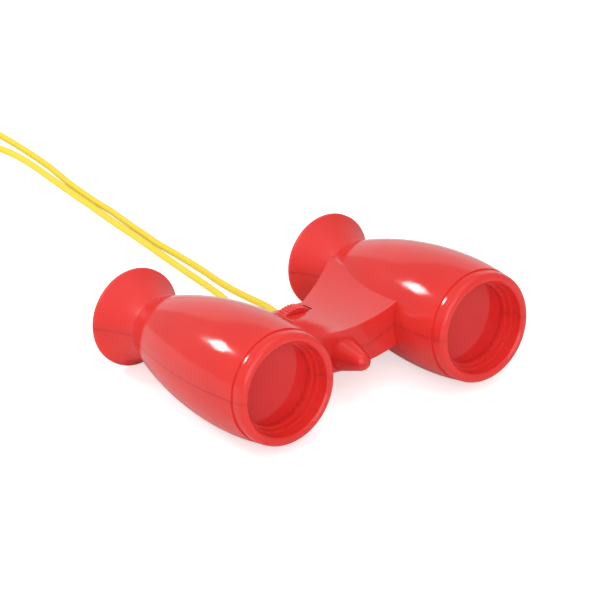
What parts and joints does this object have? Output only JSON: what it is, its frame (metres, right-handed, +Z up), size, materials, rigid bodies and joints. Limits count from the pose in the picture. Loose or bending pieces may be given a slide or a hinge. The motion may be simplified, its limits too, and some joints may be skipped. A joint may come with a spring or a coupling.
{
  "type": "toy binoculars",
  "caption": "Red moulded toy binoculars with flared eyecups, red-tinted lenses, a sagging bridge, a turning focus wheel and a yellow neck cord that lies on the table.",
  "frame": {"origin": "on the table under the middle of the case's box, cord left out", "axes": "+X from the left to the right barrel, +Y towards the eyecups, +Z up from the table; the barrels point to -Y with their noses 3.4 degrees up, as the object rests on its bellies and eyecup rims"},
  "size_m": [0.096, 0.2488, 0.0323],
  "materials": {
    "red_plastic": "moulded gloss",
    "wheel_plastic": "moulded satin",
    "lens_plastic": "polished, red tint, slight haze",
    "steel": "drawn pin",
    "cord": "woven cord",
    "tie": "woven band"
  },
  "bodies": {
    "case": {"upper_shell": "red_plastic", "lower_shell": "red_plastic", "left_objective_lens": "lens_plastic", "right_objective_lens": "lens_plastic", "left_eyepiece_lens": "lens_plastic", "right_eyepiece_lens": "lens_plastic", "left_cord_knot": "cord", "right_cord_knot": "cord", "left_cord_strand": "cord", "right_cord_strand": "cord", "cord_coil": "cord", "cord_tie": "tie"},
    "focus_wheel": {"focus_wheel": "wheel_plastic", "wheel_axle": "steel"}
  },
  "joints": [
    {"name": "focus_turn", "type": "hinge", "parent": "case", "child": "focus_wheel", "pos_m": [0, 0.0059, 0.01045], "axis": [0, 0.9982, -0.0592], "continuous": true}
  ]
}
